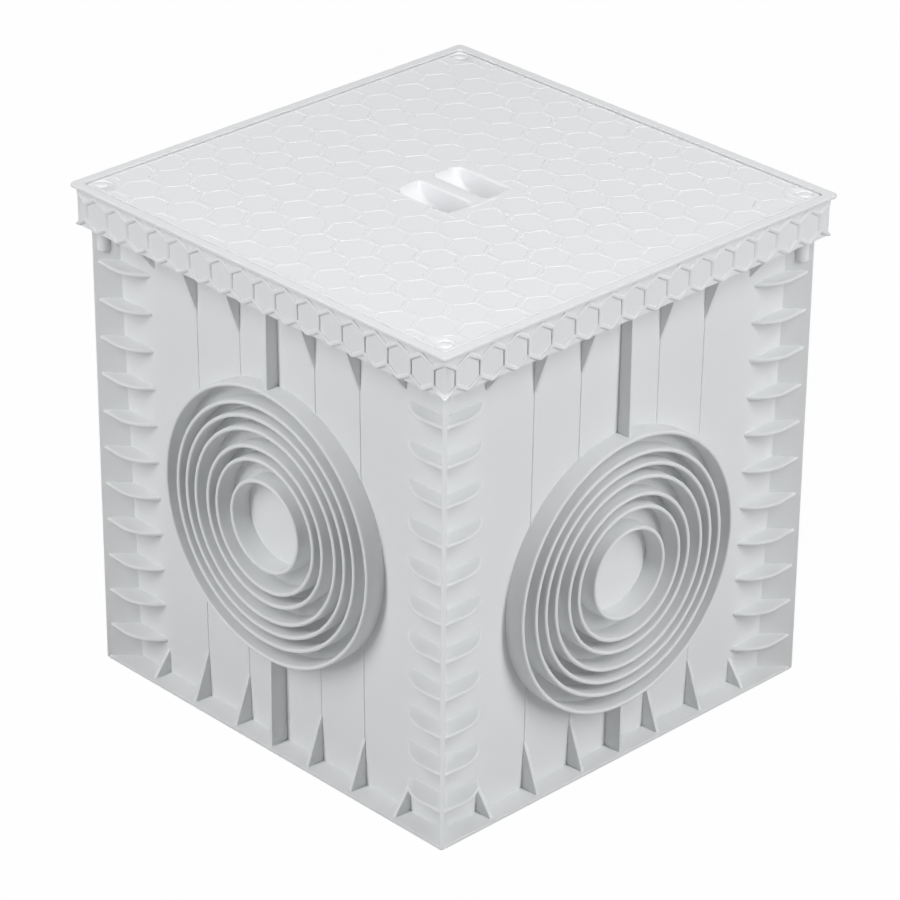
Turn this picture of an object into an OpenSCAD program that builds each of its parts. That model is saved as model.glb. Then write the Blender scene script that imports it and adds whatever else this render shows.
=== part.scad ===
// Drain inspection chamber: a square moulded box with knock-out rings for pipes and a drop-in lid.
// +Z is up, and the origin is the centre of the underside of the foot.

/* [Chamber] */
// Height from the ground to the top of the rim
total_h = 300; // [270:5:360]
// Outer width of the chamber at the ground
chamber_w = 253.2; // [230:0.2:300]
// How far each wall leans out on its way up to the rim
wall_lean = 3.8; // [0:0.1:6]
// Thickness of the chamber's walls
wall_t = 3; // [2:0.1:5]
// Thickness of the chamber's floor
floor_t = 3.2; // [2.4:0.1:6]
// How far the foot flange stands out of the walls
foot_reach = 13.4; // [10:0.2:18]
// Thickness of the foot flange
foot_t = 2.2; // [1.5:0.1:3.2]
// Plan radius of the foot's corners
foot_r = 2; // [0.5:0.5:6]

/* [Rim] */
// Height of the rim from the skirt's lower edge to its top
rim_h = 24.5; // [20:0.5:30]
// How far the ledge stands out of the walls, up to the skirt's face
ledge_reach = 15.1; // [12:0.1:20]
// Thickness of the ledge that the lid rests on
ledge_t = 3; // [2:0.1:4]
// Thickness of the skirt's wall
skirt_t = 2.7; // [1.5:0.1:3.5]
// How far the lip stands out of the skirt
lip_reach = 3; // [2:0.1:6]
// Thickness of the lip
lip_t = 2; // [1.5:0.1:3]
// Plan radius of the lip's corners
lip_r = 4.2; // [2:0.2:8]
// Bevel round the top edge of the lip
lip_bevel = 0.6; // [0.2:0.1:1]
// Number of hexagons along a side of the skirt
skirt_cells = 17; // [11:2:21]
// Width of the ridges between the hexagons
ridge_w = 2.8; // [1:0.1:4]
// Height of the ridges
ridge_h = 0.9; // [0.3:0.1:1.5]

/* [Corners] */
// Thickness of the diagonal corner fins
fin_t = 2.9; // [2:0.1:4]
// Distance between leaf ribs
leaf_pitch = 22.9; // [16:0.1:30]
// Height of the lowest leaf rib
leaf_low_z = 24.9; // [14:0.1:30]
// Least distance from the highest leaf rib to the rim
leaf_top_gap = 20; // [18:0.5:30]
// Thickness of a leaf rib
leaf_t = 2; // [1.5:0.1:3]
// Length of a leaf rib's straight edge, along the wall from the fin's outer edge
leaf_edge_l = 17; // [12:0.5:22]
// How far a leaf rib's edge falls towards the fin
leaf_fall = 2.1; // [0:0.1:4]
// Radius of a leaf rib's rounded end
leaf_r = 28; // [24:1:36]
// Radius of the screw posts under the rim
post_r = 3.9; // [3:0.1:6]
// Height of the screw posts below the rim
post_h = 15.5; // [8:0.5:16]
// Distance from the lid's sides to the screw axes
screw_inset = 6.5; // [5.5:0.1:8]

/* [Ribs] */
// Thickness of the gussets and upright ribs
rib_t = 2.4; // [1.6:0.1:4]
// Distance from the middle of a wall to its inner ribs
rib_inner_x = 30; // [24:0.5:40]
// Distance from the middle of a wall to its outer ribs
rib_outer_x = 65; // [56:0.5:74]
// Distance from the foot's side to the middle of a short gusset
rib_short_inset = 41.5; // [40:0.5:46]
// How far the upright ribs stand out of the wall
rib_proud = 0.9; // [0.5:0.1:2]
// Height of the long gussets on the foot
low_gusset_h = 31; // [20:0.5:34]
// Height of the short gussets on the foot
low_short_h = 16.5; // [10:0.5:20]
// Drop of the long gussets below the rim
top_gusset_h = 31.2; // [20:0.2:36]
// Drop of the short gussets below the rim
top_short_h = 16.2; // [10:0.2:20]
// Height of the straight outer edge of the gussets under the rim
top_edge_h = 4; // [2:0.1:8]
// Distance from the foot's side to the tips of its gussets
gusset_inset = 2; // [1:0.1:4]

/* [Knock-out rings] */
// Outer diameters of the pipes that the rings suit
pipe_sizes = [50, 75, 90, 110, 125, 140, 160];
// Clearance between a pipe and its ring, on the radius
pipe_clearance = 0.35; // [0:0.05:0.6]
// Thickness of a ring
ring_t = 2.4; // [1.6:0.1:3]
// Bevel on both sides of a ring's crest
ring_bevel = 0.7; // [0.2:0.1:0.8]
// How far the rings' crests stand out beyond the foot's side
ring_beyond_foot = 1; // [-4:0.5:4]
// Height of the ring axis on the front and back walls
ring_front_z = 117; // [100:1:150]
// Height of the ring axis on the left and right walls
ring_side_z = 142; // [100:1:150]

/* [Lid] */
// Gap between the lid and the rim
lid_gap = 0.8; // [0.4:0.1:2.5]
// How far the lid's top lies below the lip
lid_sink = 0.5; // [0:0.1:2]
// Thickness of the lid's top plate
lid_t = 3; // [2.4:0.1:5]
// Plan radius of the lid's corners
lid_r = 5; // [3:0.5:8]
// Bevel round the lid's top edge
lid_bevel = 1.2; // [0.4:0.1:1.6]
// Thickness of the lid's side walls and stiffening ribs
lid_wall_t = 2.4; // [1.6:0.1:2.8]
// Number of stiffening ribs under the lid, each way
lid_ribs = 6; // [2:2:8]
// Height of the stiffening ribs under the top plate
lid_rib_h = 14; // [6:0.5:16]
// Distance between the hexagon cells along a row
cell_pitch = 22.45; // [14:0.05:40]
// Width of the flat strips between the cells
strip_w = 2.4; // [1:0.1:4]
// Depth of the cells
cell_depth = 0.7; // [0.3:0.1:1.2]
// Width of the plain border round the cells
cell_border = 2; // [1.5:0.1:6]
// Radius of the round screw marks in the corners
mark_r = 5; // [4:0.1:5.4]
// Depth of the screw marks
mark_depth = 0.5; // [0.3:0.1:1]
// Radius of the low stud in a screw mark
stud_r = 3.5; // [2:0.1:3.8]

/* [Grip] */
// Length of the grip's two pockets, across the bar
grip_w = 47.2; // [40:0.2:56]
// Width of the pockets, along the bar
grip_l = 44; // [36:0.5:54]
// Depth of the pockets
grip_depth = 14; // [8:0.5:15]
// Width of the bar between the pockets
bar_w = 10.6; // [8:0.2:14]
// Plan radius of the pockets' outer corners
grip_r = 6; // [2:0.5:8]
// Thickness of the pockets' walls
grip_t = 2.2; // [1.6:0.1:3]
// Width of the plain border round the grip
grip_border = 1.5; // [0.5:0.1:4]

/* [Hidden] */
$fn = 64;
eps = 0.01;

rim_z = total_h - rim_h;
ledge_z = rim_z + ledge_t;
wall_half = chamber_w / 2;
root = wall_half - wall_t / 2;
foot_half = wall_half + foot_reach;
ring_face = foot_half + ring_beyond_foot;
chamber_in_w = chamber_w - 2 * wall_t;
hatch_w = chamber_in_w + 2 * wall_lean;
skirt_w = chamber_w + 2 * wall_lean + 2 * ledge_reach;
lip_w = skirt_w + 2 * lip_reach;
opening_w = skirt_w - 2 * skirt_t;
lid_w = opening_w - 2 * lid_gap;
lid_top_z = total_h - lid_sink;
lid_h = lid_top_z - ledge_z;
screw_xy = lid_w / 2 - screw_inset;
leaf_count = floor((rim_z - leaf_top_gap - leaf_low_z) / leaf_pitch) + 1;
ring_radii = [for (size = pipe_sizes) size / 2 + pipe_clearance + ring_t / 2];
rings_r = ring_radii[len(ring_radii) - 1];
grip_arc_r = (pow(grip_l / 2, 2) + pow(grip_depth, 2)) / (2 * grip_depth);
skirt_pitch = skirt_w / skirt_cells;
skirt_side = skirt_pitch / sqrt(3);
cell_side = cell_pitch / sqrt(3);
cell_row = 1.5 * cell_side;

// Distance from the axis to the outside of a drafted wall, at a height
function wall_at(z) = wall_half + wall_lean * z / rim_z;

// A square plate with rounded corners, standing on z = 0
module slab(w, h, r) {
    linear_extrude(h) {
        square([w, w - 2 * r], center = true);
        square([w - 2 * r, w], center = true);
        for (x = [-1, 1], y = [-1, 1]) translate([x, y] * (w / 2 - r)) circle(r);
    }
}

// The same plate with its top edge bevelled at 45 degrees
module bevelled_slab(w, h, r, bevel) {
    straight = w - 2 * r;
    slab(w, h - bevel, r);
    translate([0, 0, h - bevel]) {
        for (turn = [0, 90]) rotate([90, 0, turn])
            linear_extrude(straight, center = true)
                polygon([[-w / 2, 0], [w / 2, 0], [w / 2 - bevel, bevel], [bevel - w / 2, bevel]]);
        for (x = [-1, 1], y = [-1, 1]) translate([x * straight / 2, y * straight / 2, 0])
            cylinder(h = bevel, r1 = r, r2 = r - bevel);
    }
}

// A hexagon with its points along the Y axis
module hexagon(side) {
    rotate(90) circle(side, $fn = 6);
}

// An upright plate on the front wall: its outline is drawn as distance from the axis and height
module upright(x, t) {
    translate([x, 0, 0]) rotate([90, 0, -90]) linear_extrude(t, center = true) children();
}

// A drafted square block, from its width at the ground to its width under the rim
module drafted_block(low_w) {
    linear_extrude(rim_z, scale = (low_w + 2 * wall_lean) / low_w) square(low_w, center = true);
}

// A fin on each diagonal, from the chamber's corner to the foot's corner
module corner_fins() {
    for (turn = [45:90:315]) rotate(turn) translate([root * sqrt(2), -fin_t / 2, 0])
        cube([(foot_half - root) * sqrt(2), fin_t, rim_z + ledge_t / 2]);
}

// Outline of one leaf rib: a straight edge by the fin and a rounded end that runs into the wall
module leaf_wing() {
    turn_x = foot_half - leaf_edge_l;
    polygon([[turn_x, root], [root, root], [foot_half - leaf_fall, foot_half - leaf_fall], [turn_x, foot_half]]);
    intersection() {
        translate([turn_x, foot_half - leaf_r]) circle(leaf_r);
        translate([turn_x - leaf_r, root]) square([leaf_r, foot_half - root]);
    }
}

module leaf_ribs() {
    for (i = [0:leaf_count - 1]) translate([0, 0, leaf_low_z + i * leaf_pitch - leaf_t / 2])
        linear_extrude(leaf_t)
            for (turn = [0:90:270]) rotate(turn) {
                leaf_wing();
                mirror([1, -1]) leaf_wing();
            }
}

module screw_posts() {
    for (x = [-1, 1], y = [-1, 1]) translate([x * screw_xy, y * screw_xy, rim_z - post_h])
        cylinder(h = post_h + ledge_t / 2, r = post_r);
}

// Outline of a gusset that stands on the foot
module low_gusset(h) {
    polygon([[root, foot_t / 2], [foot_half - gusset_inset, foot_t / 2], [foot_half - gusset_inset, foot_t],
        [wall_at(h), h], [root, h]]);
}

// Outline of a gusset that carries the rim
module top_gusset(h) {
    low = rim_z - h;
    polygon([[root, low], [wall_at(low), low], [foot_half, rim_z - top_edge_h],
        [foot_half, rim_z + ledge_t / 2], [root, rim_z + ledge_t / 2]]);
}

// Outline of a shallow rib from the foot to the rim
module shallow_rib() {
    polygon([[root, foot_t], [wall_at(0) + rib_proud, foot_t], [wall_at(rim_z) + rib_proud, rim_z],
        [root, rim_z]]);
}

// Outline of the deep rib in the middle of a wall
module middle_rib() {
    translate([root, foot_t / 2]) square([foot_half - gusset_inset - root, rim_z]);
}

// All upright ribs and gussets of the front wall, cut short at the outermost ring
module wall_ribs(ring_z) {
    difference() {
        union() {
            for (side = [-1, 1], x = [rib_inner_x, rib_outer_x]) upright(side * x, rib_t) {
                low_gusset(low_gusset_h);
                top_gusset(top_gusset_h);
                shallow_rib();
            }
            for (side = [-1, 1]) upright(side * (foot_half - rib_short_inset), rib_t) {
                low_gusset(low_short_h);
                top_gusset(top_short_h);
            }
            upright(0, rib_t) middle_rib();
        }
        translate([0, 0, ring_z]) rotate([90, 0, 0]) cylinder(h = ring_face, r = rings_r);
    }
}

// Section of a ring from its root inside the wall to its bevelled crest
module ring_section(depth) {
    half = ring_t / 2;
    polygon([[-half, 0], [half, 0], [half, depth - ring_bevel], [half - ring_bevel, depth],
        [ring_bevel - half, depth], [-half, depth - ring_bevel]]);
}

// The concentric rings of the front wall
module knock_out_rings(ring_z) {
    translate([0, -root, ring_z]) rotate([90, 0, 0]) rotate_extrude($fn = 128)
        for (r = ring_radii) translate([r, 0]) ring_section(ring_face - root);
}

// Net of ridges between one row of hexagons, drawn from the middle of the skirt's lower edge
module ridge_net() {
    half_w = skirt_w / 2 + ridge_h;
    grow = ridge_w / sqrt(3);
    intersection() {
        difference() {
            for (i = [0:skirt_cells]) translate([i * skirt_pitch - skirt_w / 2, skirt_side])
                hexagon(skirt_side + grow);
            for (i = [0:skirt_cells]) translate([i * skirt_pitch - skirt_w / 2, skirt_side])
                hexagon(skirt_side - grow);
        }
        translate([-half_w, 0]) square([2 * half_w, rim_h - lip_t / 2]);
    }
}

// Ledge, skirt and lip, with the opening that the lid drops into
module rim() {
    difference() {
        union() {
            translate([0, 0, rim_z]) slab(skirt_w, rim_h - lip_t / 2, 1);
            for (turn = [0:90:270]) rotate(turn) translate([0, -skirt_w / 2 + skirt_t / 2, rim_z])
                rotate([90, 0, 0]) linear_extrude(skirt_t / 2 + ridge_h) ridge_net();
            translate([0, 0, total_h - lip_t]) bevelled_slab(lip_w, lip_t, lip_r, lip_bevel);
        }
        translate([0, 0, ledge_z]) slab(opening_w, rim_h, lid_r);
        translate([0, 0, rim_z + ledge_t / 2]) cube([hatch_w, hatch_w, 2 * ledge_t], center = true);
    }
}

module body() {
    color([0.84, 0.85, 0.86]) {
        difference() {
            union() {
                slab(2 * foot_half, foot_t, foot_r);
                drafted_block(chamber_w);
                corner_fins();
                leaf_ribs();
                screw_posts();
                for (turn = [0, 180]) rotate(turn) {
                    wall_ribs(ring_front_z);
                    knock_out_rings(ring_front_z);
                }
                for (turn = [90, 270]) rotate(turn) {
                    wall_ribs(ring_side_z);
                    knock_out_rings(ring_side_z);
                }
            }
            intersection() {
                drafted_block(chamber_in_w);
                translate([0, 0, floor_t + total_h / 2]) cube([lip_w, lip_w, total_h], center = true);
            }
            translate([0, 0, rim_z + ledge_t / 2]) cube([hatch_w, hatch_w, 2 * ledge_t], center = true);
        }
        rim();
    }
}

// Space of one grip pocket up to a height: a cylinder along the X axis, trimmed to a rounded outline
module grip_pocket(grow, top) {
    length = (grip_w - bar_w) / 2 + 2 * grow;
    width = grip_l + 2 * grow;
    r = grip_r + grow;
    intersection() {
        translate([0, 0, grip_arc_r - grip_depth]) rotate([0, 90, 0])
            cylinder(h = grip_w, r = grip_arc_r + grow, $fn = 128);
        translate([bar_w / 2 - grow, 0, -grip_depth - 2 * grow])
            linear_extrude(grip_depth + 2 * grow + top) {
                translate([0, -width / 2]) square([length - r, width]);
                translate([0, r - width / 2]) square([length, width - 2 * r]);
                for (y = [-1, 1]) translate([length - r, y * (width / 2 - r)]) circle(r);
            }
    }
}

// Plan of the shallow hexagon cells, in rows along the X axis, clear of the borders and the screw marks
module cell_plan() {
    field = lid_w - 2 * cell_border;
    rows = floor(field / 2 / cell_row);
    columns = ceil(field / 2 / cell_pitch);
    difference() {
        intersection() {
            square(field, center = true);
            for (row = [-rows:rows], column = [-columns:columns]) {
                shift = row % 2 == 0 ? 0.5 : 0;
                translate([(column + shift) * cell_pitch, row * cell_row])
                    hexagon(cell_side - strip_w / sqrt(3));
            }
        }
        square([grip_w, grip_l] + [2, 2] * grip_border, center = true);
        for (x = [-1, 1], y = [-1, 1]) translate([x, y] * field / 2)
            square(4 * (mark_r + screw_inset - cell_border), center = true);
    }
}

// A round mark over a screw post: a groove round a low stud
module screw_mark() {
    difference() {
        cylinder(h = mark_depth + eps, r = mark_r);
        cylinder(h = mark_depth, r = stud_r);
    }
}

module lid() {
    color([0.88, 0.89, 0.9])
    translate([0, 0, lid_top_z])
    difference() {
        union() {
            translate([0, 0, -lid_t]) bevelled_slab(lid_w, lid_t, lid_r, lid_bevel);
            difference() {
                translate([0, 0, -lid_h]) slab(lid_w, lid_h - lid_bevel, lid_r);
                translate([0, 0, -lid_h - eps]) slab(lid_w - 2 * lid_wall_t, lid_h, lid_r - lid_wall_t);
            }
            for (turn = [0, 90], i = [1:lid_ribs]) rotate(turn)
                translate([(i - (lid_ribs + 1) / 2) * lid_w / (lid_ribs + 1), 0, -lid_t - lid_rib_h / 2])
                    cube([lid_wall_t, lid_w - lid_wall_t, lid_rib_h], center = true);
            for (turn = [0, 180]) rotate(turn) grip_pocket(grip_t, -lid_t / 2);
        }
        for (turn = [0, 180]) rotate(turn) grip_pocket(0, lid_t);
        translate([0, 0, -cell_depth]) linear_extrude(cell_depth + eps) cell_plan();
        for (x = [-1, 1], y = [-1, 1]) translate([x * screw_xy, y * screw_xy, -mark_depth]) screw_mark();
    }
}

body();
lid();
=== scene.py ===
"""Drain inspection chamber: the finished surfaces of the moulded body and its drop-in lid, and a studio."""
import math

import bmesh
import bpy
from mathutils import Matrix, Vector, geometry


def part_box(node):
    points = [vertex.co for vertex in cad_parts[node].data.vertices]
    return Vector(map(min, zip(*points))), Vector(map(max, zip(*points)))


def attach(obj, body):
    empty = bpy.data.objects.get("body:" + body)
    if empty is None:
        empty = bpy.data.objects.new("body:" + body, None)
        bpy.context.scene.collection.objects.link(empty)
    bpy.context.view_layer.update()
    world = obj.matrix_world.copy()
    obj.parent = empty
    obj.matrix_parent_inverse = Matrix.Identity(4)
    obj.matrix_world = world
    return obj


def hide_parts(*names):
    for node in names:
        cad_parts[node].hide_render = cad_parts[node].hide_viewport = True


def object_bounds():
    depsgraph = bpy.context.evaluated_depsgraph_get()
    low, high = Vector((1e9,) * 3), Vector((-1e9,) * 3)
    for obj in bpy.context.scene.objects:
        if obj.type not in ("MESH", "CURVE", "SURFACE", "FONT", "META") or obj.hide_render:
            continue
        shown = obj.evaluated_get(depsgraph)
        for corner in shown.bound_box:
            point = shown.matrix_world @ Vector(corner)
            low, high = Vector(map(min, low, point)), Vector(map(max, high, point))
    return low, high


bl_info = {
    "name": "Drain inspection chamber",
    "version": (1, 0, 0),
    "blender": (4, 5, 0),
    "location": "3D View > Sidebar > Chamber",
    "description": "Builds a moulded drain inspection chamber with knock-out rings and a hexagon lid",
    "category": "Add Mesh",
}

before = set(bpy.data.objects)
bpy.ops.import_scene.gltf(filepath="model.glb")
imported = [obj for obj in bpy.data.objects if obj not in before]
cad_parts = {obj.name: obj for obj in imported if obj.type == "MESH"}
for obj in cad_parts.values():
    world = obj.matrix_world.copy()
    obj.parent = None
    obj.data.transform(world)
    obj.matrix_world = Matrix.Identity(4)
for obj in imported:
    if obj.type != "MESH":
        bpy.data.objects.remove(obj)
CAD_LOW, CAD_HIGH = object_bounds()
BODY_LOW, BODY_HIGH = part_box("body")
LID_LOW, LID_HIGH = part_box("lid")
MM = 0.001
CREST_ROUND = 0.45  # rounding of a ring's crest, as a share of its thickness
LEAF_ROUND = 0.42  # rounding of a leaf rib's edge, as a share of its thickness
RIB_ROUND = 0.8  # rounding of gussets and upright ribs, as a share of the thin edges' rounding
RIM_ROUND = 1.1  # rounding of the rim, as a share of the thin edges' rounding
FLOOR_WHITE = 0.985  # share of plain white in what the camera sees of the floor


# ---------------------------------------------------------------- settings

def length(name, description, default):
    """A size in metres that a user may change."""
    return bpy.props.FloatProperty(name=name, description=description, default=default, min=0.0,
                                   unit="LENGTH", precision=5)


def whole(name, description, default, least=1):
    """A number of equal parts."""
    return bpy.props.IntProperty(name=name, description=description, default=default, min=least)


def degrees(name, description, default):
    """An angle, written in degrees and kept in radians."""
    return bpy.props.FloatProperty(name=name, description=description, default=math.radians(default),
                                   subtype="ANGLE")


def watts(name, description, default):
    """The power of a lamp."""
    return bpy.props.FloatProperty(name=name, description=description, default=default, unit="POWER")


def share(name, description, default):
    """A number between 0 and 1."""
    return bpy.props.FloatProperty(name=name, description=description, default=default, min=0.0, max=1.0,
                                   subtype="FACTOR")


def colour(name, description, default):
    """A linear colour."""
    return bpy.props.FloatVectorProperty(name=name, description=description, default=default, size=3,
                                         min=0.0, max=1.0, subtype="COLOR")


class ChamberSizes(bpy.types.PropertyGroup):
    """Sizes of the box itself; its height and lip come from the solids."""
    foot_half: length("Foot half width", "Half the side of the foot flange", 0.140)
    foot_t: length("Foot thickness", "Thickness of the foot flange", 0.0022)
    foot_r: length("Foot corner radius", "Plan radius of the foot's corners", 0.002)
    wall_low: length("Wall at the ground", "Half the outer width of the chamber at the ground", 0.1266)
    wall_top: length("Wall under the rim", "Half the outer width of the chamber under the rim", 0.1304)
    wall_t: length("Wall thickness", "Thickness of the chamber's walls", 0.003)
    floor_t: length("Floor thickness", "Thickness of the chamber's floor", 0.0032)
    rim_h: length("Rim height", "Height of the rim", 0.0245)
    ledge_t: length("Ledge thickness", "Thickness of the ledge under the lid", 0.003)
    skirt_half: length("Skirt half width", "Half the outer width of the skirt between its ridges", 0.1455)
    skirt_t: length("Skirt thickness", "Thickness of the skirt", 0.0027)
    lip_t: length("Lip thickness", "Thickness of the lip", 0.002)
    lip_r: length("Lip corner radius", "Plan radius of the lip's corners", 0.003)
    opening_r: length("Opening corner radius", "Plan radius of the rim's opening", 0.003)
    edge_r: length("Edge rounding", "Rounding of the moulding's thin edges", 0.0005)


class RibSizes(bpy.types.PropertyGroup):
    """Sizes of the fins, leaf ribs, gussets and posts."""
    fin_t: length("Fin thickness", "Thickness of the diagonal corner fins", 0.0029)
    leaf_count: whole("Leaf ribs", "Leaf ribs on each fin", 11)
    leaf_low_z: length("Lowest leaf rib", "Height of the lowest leaf rib", 0.0227)
    leaf_pitch: length("Leaf pitch", "Distance between leaf ribs", 0.02306)
    leaf_t: length("Leaf thickness", "Thickness of a leaf rib", 0.0024)
    leaf_edge: length("Leaf edge", "Length of a leaf rib's straight edge along the wall", 0.0165)
    leaf_fall: length("Leaf fall", "How far a leaf rib's edge falls towards the fin", 0.001)
    leaf_r: length("Leaf end radius", "Radius of a leaf rib's rounded end", 0.0263)
    post_r: length("Post radius", "Radius of the screw posts", 0.0039)
    post_edge: length("Post edge", "Rounding of the posts' lower edges", 0.0014)
    post_h: length("Post height", "Height of the screw posts below the rim", 0.0155)
    screw_inset: length("Screw inset", "Distance from the lid's sides to the screw axes", 0.0065)
    rib_t: length("Rib thickness", "Thickness of gussets and upright ribs", 0.0024)
    rib_proud: length("Upright rib depth", "How far the upright ribs stand out", 0.00055)
    upright_t: length("Upright rib thickness", "Thickness of the upright ribs on the walls", 0.0018)
    inner_x: length("Inner ribs", "Distance from the middle of a wall to its inner ribs", 0.030)
    outer_x: length("Outer ribs", "Distance from the middle of a wall to its outer ribs", 0.065)
    short_x: length("Short gussets", "Distance from the middle of a wall to its short gussets", 0.1002)
    low_gusset_h: length("Foot gussets", "Height of the long gussets on the foot", 0.0325)
    low_short_h: length("Short foot gussets", "Height of the short gussets on the foot", 0.0174)
    top_gusset_h: length("Rim gussets", "Drop of the long gussets below the rim", 0.0312)
    top_short_h: length("Short rim gussets", "Drop of the short gussets below the rim", 0.0162)
    top_edge_h: length("Rim gusset edge", "Straight outer edge of the gussets under the rim", 0.004)
    gusset_inset: length("Gusset inset", "Distance from the foot's side to the gusset tips", 0.002)


class RingSizes(bpy.types.PropertyGroup):
    """Sizes of the knock-out rings."""
    pipes: bpy.props.FloatVectorProperty(
        name="Pipes", description="Outer diameters of the pipes that the rings suit", size=7, unit="LENGTH",
        default=(0.050, 0.075, 0.090, 0.110, 0.125, 0.140, 0.160))
    clearance: length("Pipe clearance", "Clearance between a pipe and its ring, on the radius", 0.00035)
    ring_t: length("Ring thickness", "Thickness of a ring", 0.0024)
    face_half: length("Ring face", "Distance from the axis to the crests of the rings", 0.141)
    front_z: length("Front ring height", "Height of the ring axis on the front and back walls", 0.117)
    side_z: length("Side ring height", "Height of the ring axis on the left and right walls", 0.142)


class ReliefSizes(bpy.types.PropertyGroup):
    """Sizes of the hexagon patterns on the skirt and the lid."""
    skirt_cells: whole("Skirt cells", "Hexagons along a side of the skirt", 17, least=3)
    ridge_w: length("Ridge width", "Width of the ridges on the skirt", 0.0026)
    ridge_h: length("Ridge height", "Height of the ridges on the skirt", 0.00115)
    corner_r: length("Skirt corner rounding", "Rounding of the skirt's upright corners", 0.0015)
    lid_pitch: length("Lid cell width", "Distance between the lid's cells along a row", 0.02245)
    strip_w: length("Strip width", "Width of the flat strips between the lid's cells", 0.0024)
    cell_depth: length("Cell depth", "Depth of the lid's cells", 0.0002)
    cell_slope: length("Cell slope", "Width of the slope round a lid cell's floor", 0.0005)
    border: length("Lid border", "Width of the plain border round the lid's cells", 0.002)


class LidSizes(bpy.types.PropertyGroup):
    """Sizes of the lid and its grip."""
    corner_r: length("Lid corner radius", "Plan radius of the lid's corners", 0.0025)
    edge_r: length("Lid edge rounding", "Rounding of the lid's top edge", 0.0012)
    plate_t: length("Plate thickness", "Thickness of the lid's top plate", 0.003)
    wall_t: length("Lid wall thickness", "Thickness of the lid's side walls and ribs", 0.0024)
    rib_count: whole("Lid ribs", "Stiffening ribs each way", 6)
    rib_h: length("Lid rib height", "Height of the ribs under the plate", 0.014)
    grip_w: length("Grip width", "Width of the grip across its bar", 0.0472)
    grip_l: length("Grip length", "Length of the grip along its bar", 0.044)
    grip_depth: length("Grip depth", "Depth of the grip's pockets", 0.014)
    bar_w: length("Bar width", "Width of the bar between the pockets", 0.0106)
    grip_r: length("Grip corner radius", "Plan radius of the pockets' outer corners", 0.006)
    bar_r: length("Bar corner radius", "Plan radius of the pockets' corners at the bar", 0.0015)
    grip_round: length("Grip edge rounding", "Rounding of the grip's edges", 0.0017)
    grip_fillet: length("Grip fillet", "Rounding between the pockets' walls and floors", 0.0022)
    grip_soft: length("Grip end softness", "Softness of the edges at the pockets' ends", 0.0022)
    grip_t: length("Grip wall", "Thickness of the pockets' walls", 0.0022)
    spot_r: length("Screw mark radius", "Radius of the round screw marks in the corners", 0.0051)
    spot_depth: length("Screw mark depth", "Depth of the groove round a screw mark's dome", 0.0005)


class FinishLook(bpy.types.PropertyGroup):
    """Colour and surface of the plastic."""
    body_colour: colour("Body colour", "Colour of the moulded body", (0.80, 0.81, 0.82))
    lid_colour: colour("Lid colour", "Colour of the moulded lid", (0.83, 0.84, 0.85))
    roughness: share("Roughness", "Roughness of the plastic", 0.5)
    cloudiness: share("Cloudiness", "How much the colour varies over the moulding", 0.02)


class StudioLook(bpy.types.PropertyGroup):
    """Camera and lights."""
    azimuth: degrees("Azimuth", "Camera's turn about the upright axis", -44.033)
    elevation: degrees("Elevation", "Camera's angle above the horizon", 27.680)
    roll: degrees("Roll", "Camera's turn about its own axis", 0.457)
    distance: length("Distance", "Distance from the camera to the point it looks at", 2.206)
    aim: bpy.props.FloatVectorProperty(name="Aim", description="Point that the camera looks at", size=3,
                                       default=(-0.0464, -0.0472, 0.17375), subtype="TRANSLATION")
    lens: bpy.props.FloatProperty(name="Lens", description="Focal length in millimetres", default=161.96)
    ambient: share("Ambient", "Strength of the even light from all round", 0.01)
    lamp_w: length("Lamp width", "Width of the lamps at the sides", 0.4)
    lamp_h: length("Lamp height", "Height of the lamps at the sides", 2.0)
    lamp_distance: length("Lamp distance", "Distance from the lamps to the middle of the chamber", 2.2)
    lamp_elevation: degrees("Lamp elevation", "Height angle of the lamps at the sides", 34)
    left_power: watts("Left lamp", "Power of the lamp on the left wall's side", 31.5)
    right_power: watts("Right lamp", "Power of the lamp on the right wall's side", 33.5)
    back_power: watts("Back lamp", "Power of the lamp behind the chamber", 5.0)
    top_power: watts("Top lamp", "Power of the lamp above the lid", 9.5)


# ---------------------------------------------------------------- shader maths

class Sock:
    """A shader socket that Python's operators can be used on."""

    def __init__(self, graph, socket):
        self.graph = graph
        self.socket = socket

    def _math(self, operation, a, b):
        return self.graph.node("ShaderNodeMath", {"operation": operation}, {0: a, 1: b})

    def __radd__(self, other):
        return self._math("ADD", other, self)

    def __mul__(self, other):
        return self._math("MULTIPLY", self, other)

    def __rmul__(self, other):
        return self._math("MULTIPLY", other, self)


class Graph:
    """A node tree of a material or the world, to which nodes are added in one line each."""

    def __init__(self, owner):
        owner.use_nodes = True
        self.tree = owner.node_tree
        self.tree.nodes.clear()

    def node(self, kind, settings=None, inputs=None, output=0):
        made = self.tree.nodes.new(kind)
        for key, value in (settings or {}).items():
            setattr(made, key, value)
        for key, value in (inputs or {}).items():
            if isinstance(value, Sock):
                self.tree.links.new(value.socket, made.inputs[key])
            else:
                made.inputs[key].default_value = value
        return Sock(self, made.outputs[output]) if made.outputs else made

    def mix(self, factor, a, b):
        """Blends two colours; the Mix node's colour sockets are its inputs 6 and 7 and its output 2."""
        return self.node("ShaderNodeMix", {"data_type": "RGBA"}, {0: factor, 6: a, 7: b}, output=2)


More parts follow.
